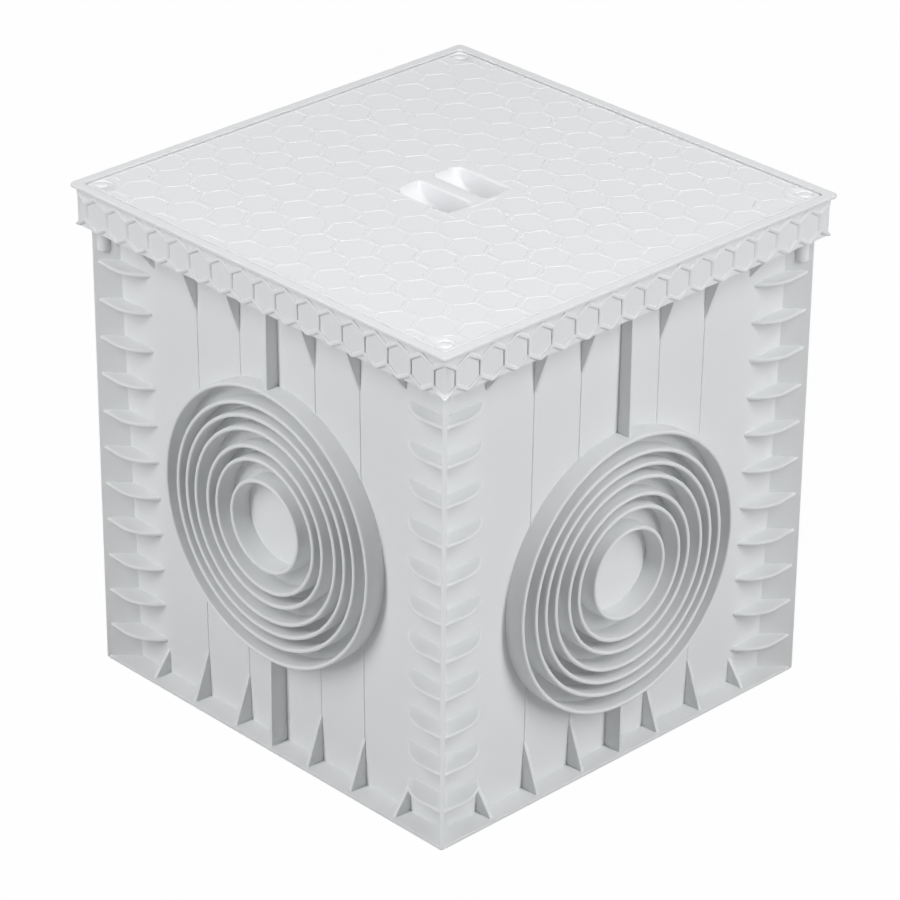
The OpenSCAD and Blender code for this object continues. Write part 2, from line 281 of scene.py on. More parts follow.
def plastic(name, tint):
    """Satin polypropylene: faint clouds in the colour, uneven gloss and a fine spark-eroded grain. Made once."""
    if name in bpy.data.materials:
        return bpy.data.materials[name]
    look = bpy.context.scene.chamber_finish
    material = bpy.data.materials.new(name)
    graph = Graph(material)
    place = graph.node("ShaderNodeTexCoord", output="Object")
    clouds = graph.node("ShaderNodeTexNoise", inputs={"Vector": place, "Scale": 14.0, "Detail": 3.0})
    flow = graph.node("ShaderNodeTexNoise", inputs={"Vector": place, "Scale": 90.0, "Detail": 4.0})
    grain = graph.node("ShaderNodeTexNoise", inputs={"Vector": place, "Scale": 2600.0, "Detail": 2.0})
    pale = [min(1.0, c * (1 + look.cloudiness)) for c in tint] + [1.0]
    deep = [c * (1 - look.cloudiness) for c in tint] + [1.0]
    shade = graph.mix(clouds, deep, pale)
    gloss = look.roughness - 0.05 + 0.10 * flow
    bump = graph.node("ShaderNodeBump", inputs={"Strength": 0.05, "Distance": 0.0001, "Height": grain})
    skin = graph.node("ShaderNodeBsdfPrincipled",
                      inputs={"Base Color": shade, "Roughness": gloss, "Normal": bump, "IOR": 1.49})
    graph.node("ShaderNodeOutputMaterial", inputs={"Surface": skin})
    return material


def body_plastic():
    return plastic("body_plastic", bpy.context.scene.chamber_finish.body_colour)


def lid_plastic():
    return plastic("lid_plastic", bpy.context.scene.chamber_finish.lid_colour)


# ---------------------------------------------------------------- mesh helpers

def add_mesh(name, build):
    """An object whose mesh build(bm) has filled in."""
    bm = bmesh.new()
    build(bm)
    mesh = bpy.data.meshes.new(name)
    bm.to_mesh(mesh)
    bm.free()
    made = bpy.data.objects.new(name, mesh)
    bpy.context.scene.collection.objects.link(made)
    return made


def join_loops(bm, loops):
    """Faces between each closed loop of vertices and the next, which has as many; returns them."""
    faces = []
    for loop, following in zip(loops, loops[1:]):
        for i in range(len(loop)):
            j = (i + 1) % len(loop)
            faces.append(bm.faces.new((loop[i], loop[j], following[j], following[i])))
    return faces


def prism(bm, outline, low, high, place):
    """A closed prism: place(a, b, c) puts the outline's a and b and the height c into space."""
    bottom = [bm.verts.new(place(a, b, low)) for a, b in outline]
    top = [bm.verts.new(place(a, b, high)) for a, b in outline]
    faces = [bm.faces.new(bottom), bm.faces.new(top)]
    bmesh.ops.recalc_face_normals(bm, faces=faces + join_loops(bm, [bottom, top]))


def upright(x):
    """Places an outline of distance and height on the front wall, x from its middle."""
    return lambda out, z, across: Vector((x + across, -out, z))


def flat(a, b, c):
    """Places a plan outline at a height."""
    return Vector((a, b, c))


def quarters(number):
    """The angle of a number of quarter turns, in radians."""
    return math.radians(90 * number)


def circle(x, y, radius, steps):
    """Plan outline of a circle, anticlockwise."""
    turns = [2 * math.pi * i / steps for i in range(steps)]
    return [(x + radius * math.cos(turn), y + radius * math.sin(turn)) for turn in turns]


def rounded_square(half, radius, steps=6):
    """Plan outline of a square with rounded corners, anticlockwise."""
    points = []
    for quarter, (sx, sy) in enumerate(((1, 1), (-1, 1), (-1, -1), (1, -1))):
        for step in range(steps + 1):
            turn = quarters(quarter + step / steps)
            points.append((sx * (half - radius) + radius * math.cos(turn),
                           sy * (half - radius) + radius * math.sin(turn)))
    return points


def settle(rough, width, segments=3, angle=30):
    """Rounds the sharp edges of a piece by a width and evens its shading; returns the finished piece."""
    name = rough.name
    if width:
        bevel = rough.modifiers.new("edges", "BEVEL")
        bevel.width = width
        bevel.segments = segments
        bevel.limit_method = "ANGLE"
        bevel.angle_limit = math.radians(angle)
        bevel.use_clamp_overlap = True
        even = rough.modifiers.new("shading", "WEIGHTED_NORMAL")
        even.keep_sharp = True
    return plain_copy(rough, name)


def plain_copy(rough, name):
    """The piece with its modifiers worked in, smooth-shaded apart from its sharp edges."""
    for polygon in rough.data.polygons:
        polygon.use_smooth = True
    graph = bpy.context.evaluated_depsgraph_get()
    graph.update()
    mesh = bpy.data.meshes.new_from_object(rough.evaluated_get(graph))
    bpy.data.objects.remove(rough)
    mesh.name = name
    made = bpy.data.objects.new(name, mesh)
    bpy.context.scene.collection.objects.link(made)
    return made


def fit_out(piece, material, node):
    """Gives a finished piece its material and body, and lets it stand for a solid."""
    piece.data.materials.clear()
    piece.data.materials.append(material)
    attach(piece, "root")
    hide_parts(node)


# ---------------------------------------------------------------- geometry nodes

class Nodes:
    """A geometry node tree with named inputs."""

    def __init__(self, name, inputs):
        self.tree = bpy.data.node_groups.new(name, "GeometryNodeTree")
        self.tree.interface.new_socket("Geometry", in_out="OUTPUT", socket_type="NodeSocketGeometry")
        for label, kind in inputs.items():
            self.tree.interface.new_socket(label, in_out="INPUT", socket_type=kind)
        self.given = self.tree.nodes.new("NodeGroupInput")

    def add(self, kind, settings=None, inputs=None):
        made = self.tree.nodes.new(kind)
        for key, value in (settings or {}).items():
            setattr(made, key, value)
        for key, value in (inputs or {}).items():
            for item in value if isinstance(value, list) else [value]:
                if isinstance(item, bpy.types.NodeSocket):
                    self.tree.links.new(item, made.inputs[key])
                else:
                    made.inputs[key].default_value = item
        return made.outputs[0]

    def input(self, label):
        return self.given.outputs[label]

    def math(self, operation, a, b):
        return self.add("ShaderNodeMath", {"operation": operation}, {0: a, 1: b})

    def vector(self, **parts):
        return self.add("ShaderNodeCombineXYZ", inputs=parts)

    def end(self, geometry, material):
        """Ends the tree with real geometry and its material."""
        real = self.add("GeometryNodeRealizeInstances", inputs={"Geometry": geometry})
        dressed = self.add("GeometryNodeSetMaterial", inputs={"Geometry": real, "Material": material})
        out = self.tree.nodes.new("NodeGroupOutput")
        self.tree.links.new(dressed, out.inputs[0])

    def grow(self, name, values):
        """Runs the tree on an empty object and returns the plain mesh object that it makes."""
        holder = bpy.data.objects.new(name, bpy.data.meshes.new(name))
        bpy.context.scene.collection.objects.link(holder)
        modifier = holder.modifiers.new("grow", "NODES")
        modifier.node_group = self.tree
        for item in self.tree.interface.items_tree:
            if item.in_out == "INPUT" and item.name in values:
                modifier[item.identifier] = values[item.name]
        return plain_copy(holder, name)


def copies_tree():
    """Tree that repeats one piece in rows up the axis and in equal turns about it."""
    tree = Nodes("copies about the axis", {
        "Piece": "NodeSocketObject", "Rows": "NodeSocketInt", "Row pitch": "NodeSocketFloat",
        "Sides": "NodeSocketInt", "Material": "NodeSocketMaterial"})
    piece = tree.add("GeometryNodeObjectInfo", inputs={"Object": tree.input("Piece")}).node.outputs["Geometry"]
    rise = tree.vector(Z=tree.input("Row pitch"))
    rows = tree.add("GeometryNodeMeshLine", inputs={"Count": tree.input("Rows"), "Offset": rise})
    stack = tree.add("GeometryNodeInstanceOnPoints", inputs={"Points": rows, "Instance": piece})
    sides = tree.add("GeometryNodeMeshLine", inputs={"Count": tree.input("Sides"), "Offset": (0, 0, 0)})
    step = tree.math("DIVIDE", 2 * math.pi, tree.input("Sides"))
    about = tree.vector(Z=tree.math("MULTIPLY", tree.add("GeometryNodeInputIndex"), step))
    around = tree.add("GeometryNodeInstanceOnPoints",
                      inputs={"Points": sides, "Instance": stack, "Rotation": about})
    tree.end(around, tree.input("Material"))
    return tree


def copies(name, piece, material, sides, rows=1, pitch=0.0):
    """A finished piece made of copies of another, which is used up."""
    made = copies_tree().grow(name, {"Piece": piece, "Rows": rows, "Row pitch": pitch, "Sides": sides,
                                     "Material": material})
    bpy.data.objects.remove(piece)
    return made


# ---------------------------------------------------------------- body

def rim_low():
    """Height of the rim's lower edge."""
    return BODY_HIGH[2] - bpy.context.scene.chamber_sizes.rim_h


def in_ledge():
    """Height inside the ledge, where the walls and ribs under it end."""
    return rim_low() + bpy.context.scene.chamber_sizes.ledge_t / 2


def wall_at(z):
    """Half the chamber's outer width at a height, along the drafted wall."""
    sizes = bpy.context.scene.chamber_sizes
    return sizes.wall_low + (sizes.wall_top - sizes.wall_low) * z / rim_low()


class CHAMBER_OT_box(bpy.types.Operator):
    """Walls, floor and foot of the chamber"""
    bl_idname = "chamber.box"
    bl_label = "Walls and foot"

    def execute(self, context):
        sizes = context.scene.chamber_sizes
        under = sizes.foot_t / 2
        top = in_ledge()

        def square(bm, half, z):
            return [bm.verts.new((x * half, y * half, z)) for x, y in ((1, 1), (-1, 1), (-1, -1), (1, -1))]

        def build(bm):
            outer_low = square(bm, wall_at(under), under)
            outer_top = square(bm, wall_at(top), top)
            inner_top = square(bm, wall_at(top) - sizes.wall_t, top)
            inner_low = square(bm, wall_at(sizes.floor_t) - sizes.wall_t, sizes.floor_t)
            bm.faces.new(outer_low)
            bm.faces.new(inner_low)
            join_loops(bm, [outer_low, outer_top, inner_top, inner_low])
            bmesh.ops.recalc_face_normals(bm, faces=bm.faces)

        walls = settle(add_mesh("chamber_walls", build), sizes.edge_r)
        fit_out(walls, body_plastic(), "body")
        foot = add_mesh("foot_flange", lambda bm: prism(
            bm, rounded_square(sizes.foot_half, sizes.foot_r), BODY_LOW[2], sizes.foot_t, flat))
        fit_out(settle(foot, sizes.edge_r, angle=50), body_plastic(), "body")
        return {"FINISHED"}


class CHAMBER_OT_fins(bpy.types.Operator):
    """Diagonal corner fins and the screw posts at their tops"""
    bl_idname = "chamber.fins"
    bl_label = "Corner fins and posts"

    def execute(self, context):
        sizes, ribs = context.scene.chamber_sizes, context.scene.chamber_ribs
        inner = (sizes.wall_low - sizes.wall_t / 2) * math.sqrt(2)
        outer = sizes.foot_half * math.sqrt(2)
        diagonal = Matrix.Rotation(math.radians(45), 3, "Z")
        screw = LID_HIGH[0] - ribs.screw_inset
        top = in_ledge()

        outline = [(inner, sizes.foot_t / 2), (outer, sizes.foot_t / 2), (outer, top), (inner, top)]
        fin = add_mesh("fin", lambda bm: prism(
            bm, outline, -ribs.fin_t / 2, ribs.fin_t / 2, lambda a, b, c: diagonal @ Vector((a, c, b))))
        fin = settle(fin, sizes.edge_r, angle=40)
        fit_out(copies("corner_fins", fin, body_plastic(), sides=4), body_plastic(), "body")

        post = add_mesh("post", lambda bm: prism(
            bm, circle(screw, screw, ribs.post_r, 32), rim_low() - ribs.post_h, top, flat))
        post = settle(post, ribs.post_edge, segments=5, angle=40)
        fit_out(copies("screw_posts", post, body_plastic(), sides=4), body_plastic(), "body")
        return {"FINISHED"}


class CHAMBER_OT_leaf_ribs(bpy.types.Operator):
    """Stacks of leaf ribs on both sides of every corner fin"""
    bl_idname = "chamber.leaf_ribs"
    bl_label = "Leaf ribs"

    def execute(self, context):
        sizes, ribs = context.scene.chamber_sizes, context.scene.chamber_ribs
        half = sizes.foot_half
        inner = sizes.wall_low - sizes.wall_t / 2
        turn_x = half - ribs.leaf_edge
        centre = Vector((turn_x, half - ribs.leaf_r))
        last = math.asin((inner - centre.y) / ribs.leaf_r)
        steps = 14
        wing = [(half - ribs.leaf_fall, half - ribs.leaf_fall)]
        for i in range(steps + 1):
            turn = math.pi / 2 + (math.pi / 2 - last) * i / steps
            wing.append((centre.x + ribs.leaf_r * math.cos(turn), centre.y + ribs.leaf_r * math.sin(turn)))
        outline = wing + [(inner, inner)] + [(y, x) for x, y in reversed(wing[1:])]
        low = ribs.leaf_low_z - ribs.leaf_t / 2

        leaf = add_mesh("leaf", lambda bm: prism(bm, outline, low, low + ribs.leaf_t, flat))
        leaf = settle(leaf, ribs.leaf_t * LEAF_ROUND, segments=4, angle=50)
        leaves = copies("leaf_ribs", leaf, body_plastic(), sides=4, rows=ribs.leaf_count, pitch=ribs.leaf_pitch)
        fit_out(leaves, body_plastic(), "body")
        return {"FINISHED"}


class CHAMBER_OT_wall_ribs(bpy.types.Operator):
    """Gussets on the foot and under the rim, and the upright ribs between them"""
    bl_idname = "chamber.wall_ribs"
    bl_label = "Gussets and upright ribs"

    def execute(self, context):
        sizes, ribs, rings = (context.scene.chamber_sizes, context.scene.chamber_ribs, context.scene.chamber_rings)
        rim_z, top = rim_low(), in_ledge()
        tip = sizes.foot_half - ribs.gusset_inset
        sunk = sizes.wall_t / 2
        half_t = ribs.rib_t / 2
        ring_r = max(rings.pipes) / 2 + rings.clearance + rings.ring_t / 2

        def low_gusset(h):
            return [(wall_at(0) - sunk, sizes.foot_t / 2), (tip, sizes.foot_t / 2), (tip, sizes.foot_t),
                    (wall_at(h), h), (wall_at(h) - sunk, h)]

        def top_gusset(h):
            low = rim_z - h
            return [(wall_at(low) - sunk, low), (wall_at(low), low), (sizes.foot_half, rim_z - ribs.top_edge_h),
                    (sizes.foot_half, top), (wall_at(low) - sunk, top)]

        def strip(low, high, face_low, face_high):
            return [(wall_at(low) - sunk, low), (face_low, low), (face_high, high), (wall_at(high) - sunk, high)]

        def one_wall(ring_z):
            def build(bm):
                for side in (-1, 1):
                    for x in (ribs.inner_x, ribs.outer_x):
                        place = upright(side * x)
                        prism(bm, low_gusset(ribs.low_gusset_h), -half_t, half_t, place)
                        prism(bm, top_gusset(ribs.top_gusset_h), -half_t, half_t, place)
                        reach = math.sqrt(ring_r ** 2 - x ** 2)
                        for low, high in ((sizes.foot_t, ring_z - reach), (ring_z + reach, rim_z)):
                            thin = strip(low, high, wall_at(low) + ribs.rib_proud, wall_at(high) + ribs.rib_proud)
                            prism(bm, thin, -ribs.upright_t / 2, ribs.upright_t / 2, place)
                    place = upright(side * ribs.short_x)
                    prism(bm, low_gusset(ribs.low_short_h), -half_t, half_t, place)
                    prism(bm, top_gusset(ribs.top_short_h), -half_t, half_t, place)
                for low, high in ((sizes.foot_t / 2, ring_z - ring_r), (ring_z + ring_r, top)):
                    prism(bm, strip(low, high, tip, tip), -half_t, half_t, upright(0))
            return build

        for name, ring_z, turn in (("front_and_back", rings.front_z, 0), ("left_and_right", rings.side_z, 90)):
            wall = add_mesh("ribs", one_wall(ring_z))
            wall.data.transform(Matrix.Rotation(math.radians(turn), 4, "Z"))
            wall = settle(wall, sizes.edge_r * RIB_ROUND)
            fit_out(copies("wall_ribs_" + name, wall, body_plastic(), sides=2), body_plastic(), "body")
        return {"FINISHED"}


def rings_tree(count):
    """Tree that makes concentric rings with round crests on a pair of opposite walls."""
    inputs = {"Ring %d radius" % (i + 1): "NodeSocketFloat" for i in range(count)}
    inputs.update({"Thickness": "NodeSocketFloat", "Depth": "NodeSocketFloat", "Middle": "NodeSocketFloat",
                   "Height": "NodeSocketFloat", "Turn": "NodeSocketFloat", "Material": "NodeSocketMaterial"})
    tree = Nodes("knock-out rings", inputs)
    smoothness = 160
    circles = [tree.add("GeometryNodeCurvePrimitiveCircle", inputs={
        "Resolution": smoothness, "Radius": tree.input("Ring %d radius" % (i + 1))}) for i in range(count)]
    circles = tree.add("GeometryNodeJoinGeometry", inputs={0: circles})
    section = tree.add("GeometryNodeCurvePrimitiveQuadrilateral", inputs={
        "Width": tree.input("Thickness"), "Height": tree.input("Depth")})
    crest = tree.math("MULTIPLY", tree.input("Thickness"), CREST_ROUND)
    section = tree.add("GeometryNodeFilletCurve", {"mode": "POLY"},
                       {"Curve": section, "Count": 5, "Radius": crest})
    tubes = tree.add("GeometryNodeCurveToMesh", inputs={"Curve": circles, "Profile Curve": section})
    place = tree.vector(Y=tree.math("MULTIPLY", tree.input("Middle"), -1.0), Z=tree.input("Height"))
    front = tree.add("GeometryNodeTransform", inputs={
        "Geometry": tubes, "Translation": place, "Rotation": (math.pi / 2, 0, 0)})
    pair = []
    for half_turn in (0, math.pi):
        about = tree.vector(Z=tree.math("ADD", tree.input("Turn"), half_turn))
        pair.append(tree.add("GeometryNodeTransform", inputs={"Geometry": front, "Rotation": about}))
    both = tree.add("GeometryNodeJoinGeometry", inputs={0: pair})
    tree.end(both, tree.input("Material"))
    return tree


class CHAMBER_OT_rings(bpy.types.Operator):
    """Concentric knock-out rings on all four walls"""
    bl_idname = "chamber.rings"
    bl_label = "Knock-out rings"

    def execute(self, context):
        sizes, rings = context.scene.chamber_sizes, context.scene.chamber_rings
        root = sizes.wall_low - sizes.wall_t / 2
        values = {"Thickness": rings.ring_t, "Depth": rings.face_half - root,
                  "Middle": (rings.face_half + root) / 2, "Material": body_plastic()}
        for i, pipe in enumerate(rings.pipes):
            values["Ring %d radius" % (i + 1)] = pipe / 2 + rings.clearance + rings.ring_t / 2
        tree = rings_tree(len(rings.pipes))
        for name, height, turn in (("front_and_back", rings.front_z, 0.0),
                                   ("left_and_right", rings.side_z, math.pi / 2)):
            made = tree.grow("rings_" + name, dict(values, Height=height, Turn=turn))
            outward(made)
            fit_out(made, body_plastic(), "body")
        return {"FINISHED"}


def outward(piece):
    """Turns the faces of a closed piece outwards."""
    bm = bmesh.new()
    bm.from_mesh(piece.data)
    bmesh.ops.recalc_face_normals(bm, faces=bm.faces)
    bm.to_mesh(piece.data)
    bm.free()


class CHAMBER_OT_rim(bpy.types.Operator):
    """Ledge, upright wall and lip of the rim"""
    bl_idname = "chamber.rim"
    bl_label = "Rim"

    def execute(self, context):
        sizes = context.scene.chamber_sizes
        top, lip = BODY_HIGH[2], BODY_HIGH[0]
        under = rim_low() + 0.02 * MM
        ledge = rim_low() + sizes.ledge_t
        lip_under = top - sizes.lip_t
        backing = sizes.skirt_half - 0.2 * MM
        opening = sizes.skirt_half - sizes.skirt_t
        hatch = wall_at(rim_low()) - sizes.wall_t
        plain_r = 0.5 * MM
        section = [(hatch, under, plain_r), (backing, under, plain_r), (backing, lip_under, plain_r),
                   (lip, lip_under, sizes.lip_r), (lip, top, sizes.lip_r), (opening, top, sizes.opening_r),
                   (opening, ledge, sizes.opening_r), (hatch, ledge, plain_r)]
        rim = add_mesh("rim", lambda bm: square_sweep(bm, section))
        fit_out(settle(rim, sizes.edge_r * RIM_ROUND, angle=40), body_plastic(), "body")
        return {"FINISHED"}


def square_sweep(bm, section):
    """A closed ring whose section, as (half width, height, corner radius), runs round a square."""
    loops = [[bm.verts.new((x, y, z)) for x, y in rounded_square(half, radius)] for half, z, radius in section]
    join_loops(bm, loops + loops[:1])
    bmesh.ops.recalc_face_normals(bm, faces=bm.faces)


# ---------------------------------------------------------------- hexagon relief

def hexagon(cx, cy, side):
    """Corners of a hexagon with its points up and down, anticlockwise."""
    return [(cx + side * math.cos(math.radians(30 + 60 * i)), cy + side * math.sin(math.radians(30 + 60 * i)))
            for i in range(6)]


def clip(cell, a, b, c):
    """The part of a cell where a*x + b*y <= c. A cell lists (point, edge kind), each edge starting there."""
    kept = []
    for i, (p, kind) in enumerate(cell):
        q = cell[(i + 1) % len(cell)][0]
        side_p, side_q = a * p[0] + b * p[1] - c, a * q[0] + b * q[1] - c
        if side_p <= 0:
            kept.append((p, kind))
        if (side_p <= 0) != (side_q <= 0):
            t = side_p / (side_p - side_q)
            crossing = (p[0] + t * (q[0] - p[0]), p[1] + t * (q[1] - p[1]))
            kept.append((crossing, "cut" if side_p <= 0 else kind))
    apart = [corner for i, corner in enumerate(kept) if math.dist(corner[0], kept[(i + 1) % len(kept)][0]) > 1e-6]
    return apart if len(apart) > 2 else []


def inset(cell, moves):
    """Corners of a convex cell with each edge moved inwards by the distance for its kind, or None."""
    count = len(cell)
    lines = []
    for i in range(count):
        (px, py), kind = cell[i]
        qx, qy = cell[(i + 1) % count][0]
        size = math.hypot(qx - px, qy - py)
        nx, ny = (py - qy) / size, (qx - px) / size
        lines.append((nx, ny, nx * px + ny * py + moves[kind]))
    corners = []
    for i in range(count):
        a, b = lines[i - 1], lines[i]
        det = a[0] * b[1] - a[1] * b[0]
        if abs(det) < 1e-9:
            return None
        corners.append(((a[2] * b[1] - a[1] * b[2]) / det, (a[0] * b[2] - a[2] * b[0]) / det))
    for i in range(count):
        (px, py), (qx, qy) = cell[i][0], cell[(i + 1) % count][0]
        (ax, ay), (bx, by) = corners[i], corners[(i + 1) % count]
        if (qx - px) * (bx - ax) + (qy - py) * (by - ay) <= 0:
            return None
    return corners


def sink(bm, cell, levels, place, open_kinds=()):
    """Faces of one cell: loops at (moves, height) levels, joined by slopes and closed by a floor; returns its border.
    Edges of the open kinds get no slope."""
    loops = []
    for moves, height in levels:
        corners = inset(cell, moves)
        if corners is None:
            break
        loops.append([bm.verts.new(place(x, y, height)) for x, y in corners])
    for loop, inner in zip(loops, loops[1:]):
        for i in range(len(loop)):
            j = (i + 1) % len(loop)
            if cell[i][1] not in open_kinds:
                bm.faces.new((loop[i], loop[j], inner[j], inner[i]))
    bm.faces.new(loops[-1])
    return loops[0]


class CHAMBER_OT_skirt(bpy.types.Operator):
    """Skirt of the rim with its net of rounded hexagon ridges"""
    bl_idname = "chamber.skirt"
    bl_label = "Hexagon skirt"

    def execute(self, context):
        sizes, relief = context.scene.chamber_sizes, context.scene.chamber_relief
        face = sizes.skirt_half
        low = rim_low()
        high = BODY_HIGH[2] - sizes.lip_t * 0.75  # inside the lip
        pitch = 2 * face / relief.skirt_cells
        side = pitch / math.sqrt(3)
        middle = low + side
        on_corner, weld = 0.01 * MM, 0.005 * MM
        steps = 6
        levels = []
        for i in range(steps + 1):
            turn = quarters(i / steps)
            levels.append(({"ridge": relief.ridge_w / 2 * math.sin(turn), "cut": 0.0},
                           relief.ridge_h * math.cos(turn)))

        def place(u, z, h):
            """On the front of the skirt; ridges are lower right at the corners, which are rounded later."""
            h *= 0.3 if abs(u) > face - on_corner else 1.0
            return Vector((u * (1 + h / face), -(face + h), z))

        def build(bm):
            for k in range(relief.skirt_cells + 1):
                x = -face + k * pitch
                cells = [[(p, "ridge") for p in hexagon(x, middle, side)]]
                if k < relief.skirt_cells:
                    m = x + pitch / 2
                    valley, apex = middle + side / 2, middle + side
                    cells.append([((x, high), "cut"), ((x, apex), "ridge"), ((m, valley), "ridge"),
                                  ((x + pitch, apex), "cut"), ((x + pitch, high), "cut")])
                    cells.append([((x, low), "cut"), ((x + pitch, low), "ridge"), ((m, low + side / 2), "ridge")])
                for cell in cells:
                    for a in (-1, 1):
                        cell = clip(cell, a, 0, face) if cell else cell
                    if cell:
                        sink(bm, cell, levels, place, open_kinds=("cut",))
            front = list(bm.faces)
            for quarter in range(1, 4):
                copy = bmesh.ops.duplicate(bm, geom=front)
                made = [g for g in copy["geom"] if isinstance(g, bmesh.types.BMVert)]
                bmesh.ops.rotate(bm, verts=made, matrix=Matrix.Rotation(math.pi / 2 * quarter, 3, "Z"))
            bmesh.ops.remove_doubles(bm, verts=bm.verts, dist=weld)
            corner = [e for e in bm.edges if not e.is_boundary and all(
                abs(abs(v.co.x) - abs(v.co.y)) < on_corner for v in e.verts)]
            bmesh.ops.bevel(bm, geom=corner, offset=relief.corner_r, segments=4, profile=0.5, affect="EDGES",
                            clamp_overlap=False)
            edges = [e for e in bm.edges if e.is_boundary]
            grown = bmesh.ops.extrude_edge_only(bm, edges=edges)["geom"]
            back = face - sizes.skirt_t / 2
            for vert in (g for g in grown if isinstance(g, bmesh.types.BMVert)):
                reach = max(abs(vert.co.x), abs(vert.co.y))
                vert.co.x *= back / reach
                vert.co.y *= back / reach
            inner = [e for e in bm.edges if e.is_boundary]
            bmesh.ops.bridge_loops(bm, edges=inner)
            bmesh.ops.recalc_face_normals(bm, faces=bm.faces)

        skirt = plain_copy(add_mesh("skirt_net", build), "skirt_net")
        skirt.data.set_sharp_from_angle(angle=math.radians(40))
        fit_out(skirt, body_plastic(), "body")
        return {"FINISHED"}


# ---------------------------------------------------------------- lid

# Section of a screw mark from its border inwards: shares of its radius and of its groove's depth
SCREW_MARK = ((1.0, 0.0), (0.96, -0.25), (0.9, -0.8), (0.84, -1.0), (0.76, -1.0), (0.70, -0.8),
              (0.62, -0.2), (0.5, 0.3), (0.34, 0.55), (0.16, 0.7))


def soft_positive(value, k):
    """A value where it is positive and 0 where it isn't, with the crease between them rounded over about k."""
    h = max(0.0, k - abs(value)) / k
    return max(value, 0.0) + h * h * k / 4


def pocket_outline(side, offset):
    """Plan outline of a pocket, moved inwards by an offset, anticlockwise; side is -1 or 1."""
    sizes = bpy.context.scene.chamber_lid
    low, high = sizes.bar_w / 2 + offset, sizes.grip_w / 2 - offset
    end = sizes.grip_l / 2 - offset
    radii = {low: max(sizes.bar_r - offset, 0.3 * MM), high: max(sizes.grip_r - offset, 0.3 * MM)}
    arc, run, along = 10, 24, 6  # steps of a rounded corner, of a long side and of an end
    corners = ((high, end), (low, end), (low, -end), (high, -end))
    points = []
    for quarter, (cx, cy) in enumerate(corners):
        radius = radii[cx]
        mx, my = cx + radius * (1 if cx == low else -1), cy + radius * (1 if cy < 0 else -1)
        for step in range(arc + 1):
            turn = quarters(quarter + step / arc)
            points.append((mx + radius * math.cos(turn), my + radius * math.sin(turn)))
        nx, ny = corners[(quarter + 1) % 4]
        fx, fy = points[-1]
        if quarter % 2 == 0:
            tx, ty = nx + radii[nx] * (1 if nx == low else -1), fy
        else:
            tx, ty = fx, ny + radii[nx] * (1 if ny < 0 else -1)
        gaps = along if quarter % 2 == 0 else run
        points += [(fx + (tx - fx) * i / gaps, fy + (ty - fy) * i / gaps) for i in range(1, gaps)]
    return [(side * x, y) for x, y in (points if side > 0 else points[::-1])]


def pocket_depth(y, inside):
    """Depth of a pocket's floor and of the fillet at its wall, at a distance inside its outline."""
    sizes = bpy.context.scene.chamber_lid
    radius = ((sizes.grip_l / 2) ** 2 + sizes.grip_depth ** 2) / (2 * sizes.grip_depth)
    fillet = sizes.grip_fillet
    short = fillet - math.sqrt(fillet ** 2 - max(0.0, fillet - max(inside, 0.0)) ** 2)
    return math.sqrt(max(0.0, (radius - short) ** 2 - y * y)) - (radius - sizes.grip_depth)


def pocket(bm, side):
    """Surface of one pocket: rounded edge, upright wall, fillet and curved floor; returns its border."""
    sizes = bpy.context.scene.chamber_lid
    edge, fillet = sizes.grip_round, sizes.grip_fillet
    middle = side * (sizes.bar_w + sizes.grip_w) / 4
    half_w = (sizes.grip_w - sizes.bar_w) / 4
    loops = []

    def add(points, deepest, inside):
        loops.append([bm.verts.new((x, y, -min(deepest, soft_positive(pocket_depth(y, inside), sizes.grip_soft))))
                      for x, y in points])

    edge_steps, fillet_steps, floor_rings = 6, 10, 6
    for step in range(edge_steps + 1):
        turn = quarters(step / edge_steps)
        offset = -edge * (1 - math.sin(turn))
        add(pocket_outline(side, offset), edge * (1 - math.cos(turn)), offset)
    for step in range(1, fillet_steps + 1):
        inside = fillet * (1 - math.cos(quarters(step / fillet_steps)))
        add(pocket_outline(side, inside), math.inf, inside)
    end = sizes.grip_l / 2 - half_w
    for step in range(1, floor_rings):
        part = step / floor_rings
        points = [(x + (middle - x) * part, y + (max(-end, min(end, y)) - y) * part)
                  for x, y in pocket_outline(side, fillet)]
        add(points, math.inf, fillet)
    join_loops(bm, loops)
    fill_between(bm, loops[-1], [])
    return loops[0]


def pocket_shell(bm, side):
    """Underside of a pocket: its wall's outer face and a curved bottom; returns its border."""
    sizes = bpy.context.scene.chamber_lid
    outline = pocket_outline(side, -sizes.grip_t)
    middle = side * (sizes.bar_w + sizes.grip_w) / 4
    shallowest = sizes.plate_t + 0.05 * MM
    strips = 6
    loops = [[bm.verts.new((x, y, -sizes.plate_t)) for x, y in outline]]
    for strip in range(strips):
        loop = []
        for x, y in outline:
            deep = soft_positive(pocket_depth(y, sizes.grip_fillet), sizes.grip_soft) + sizes.grip_t
            loop.append(bm.verts.new((x + (middle - x) * strip / strips, y, -max(shallowest, deep))))
        loops.append(loop)
    join_loops(bm, loops)
    fill_between(bm, loops[-1], [])
    return loops[0]


def fill_between(bm, outer, holes):
    """Flat faces between an outer loop of vertices and the holes in it, through a plane triangulation."""
    loops = [outer] + holes
    verts = [v for loop in loops for v in loop]
    faces, start = [], 0
    for loop in loops:
        faces.append(list(range(start, start + len(loop))))
        start += len(loop)
    points, _, triangles, _, _, sources = geometry.delaunay_2d_cdt(
        [v.co.xy for v in verts], [], faces, 0, 1e-7)
    near = {(round(v.co.x * 1e7), round(v.co.y * 1e7)): v for v in verts}
    found = []
    for point in points:
        key = (round(point.x * 1e7), round(point.y * 1e7))
        match = near.get(key) or min(verts, key=lambda v: (v.co.xy - point).length_squared)
        found.append(match)
    for triangle, source in zip(triangles, sources):
        corners = [found[i] for i in triangle]
        if source == [0] and len(set(corners)) == 3:
            bm.faces.new(corners)


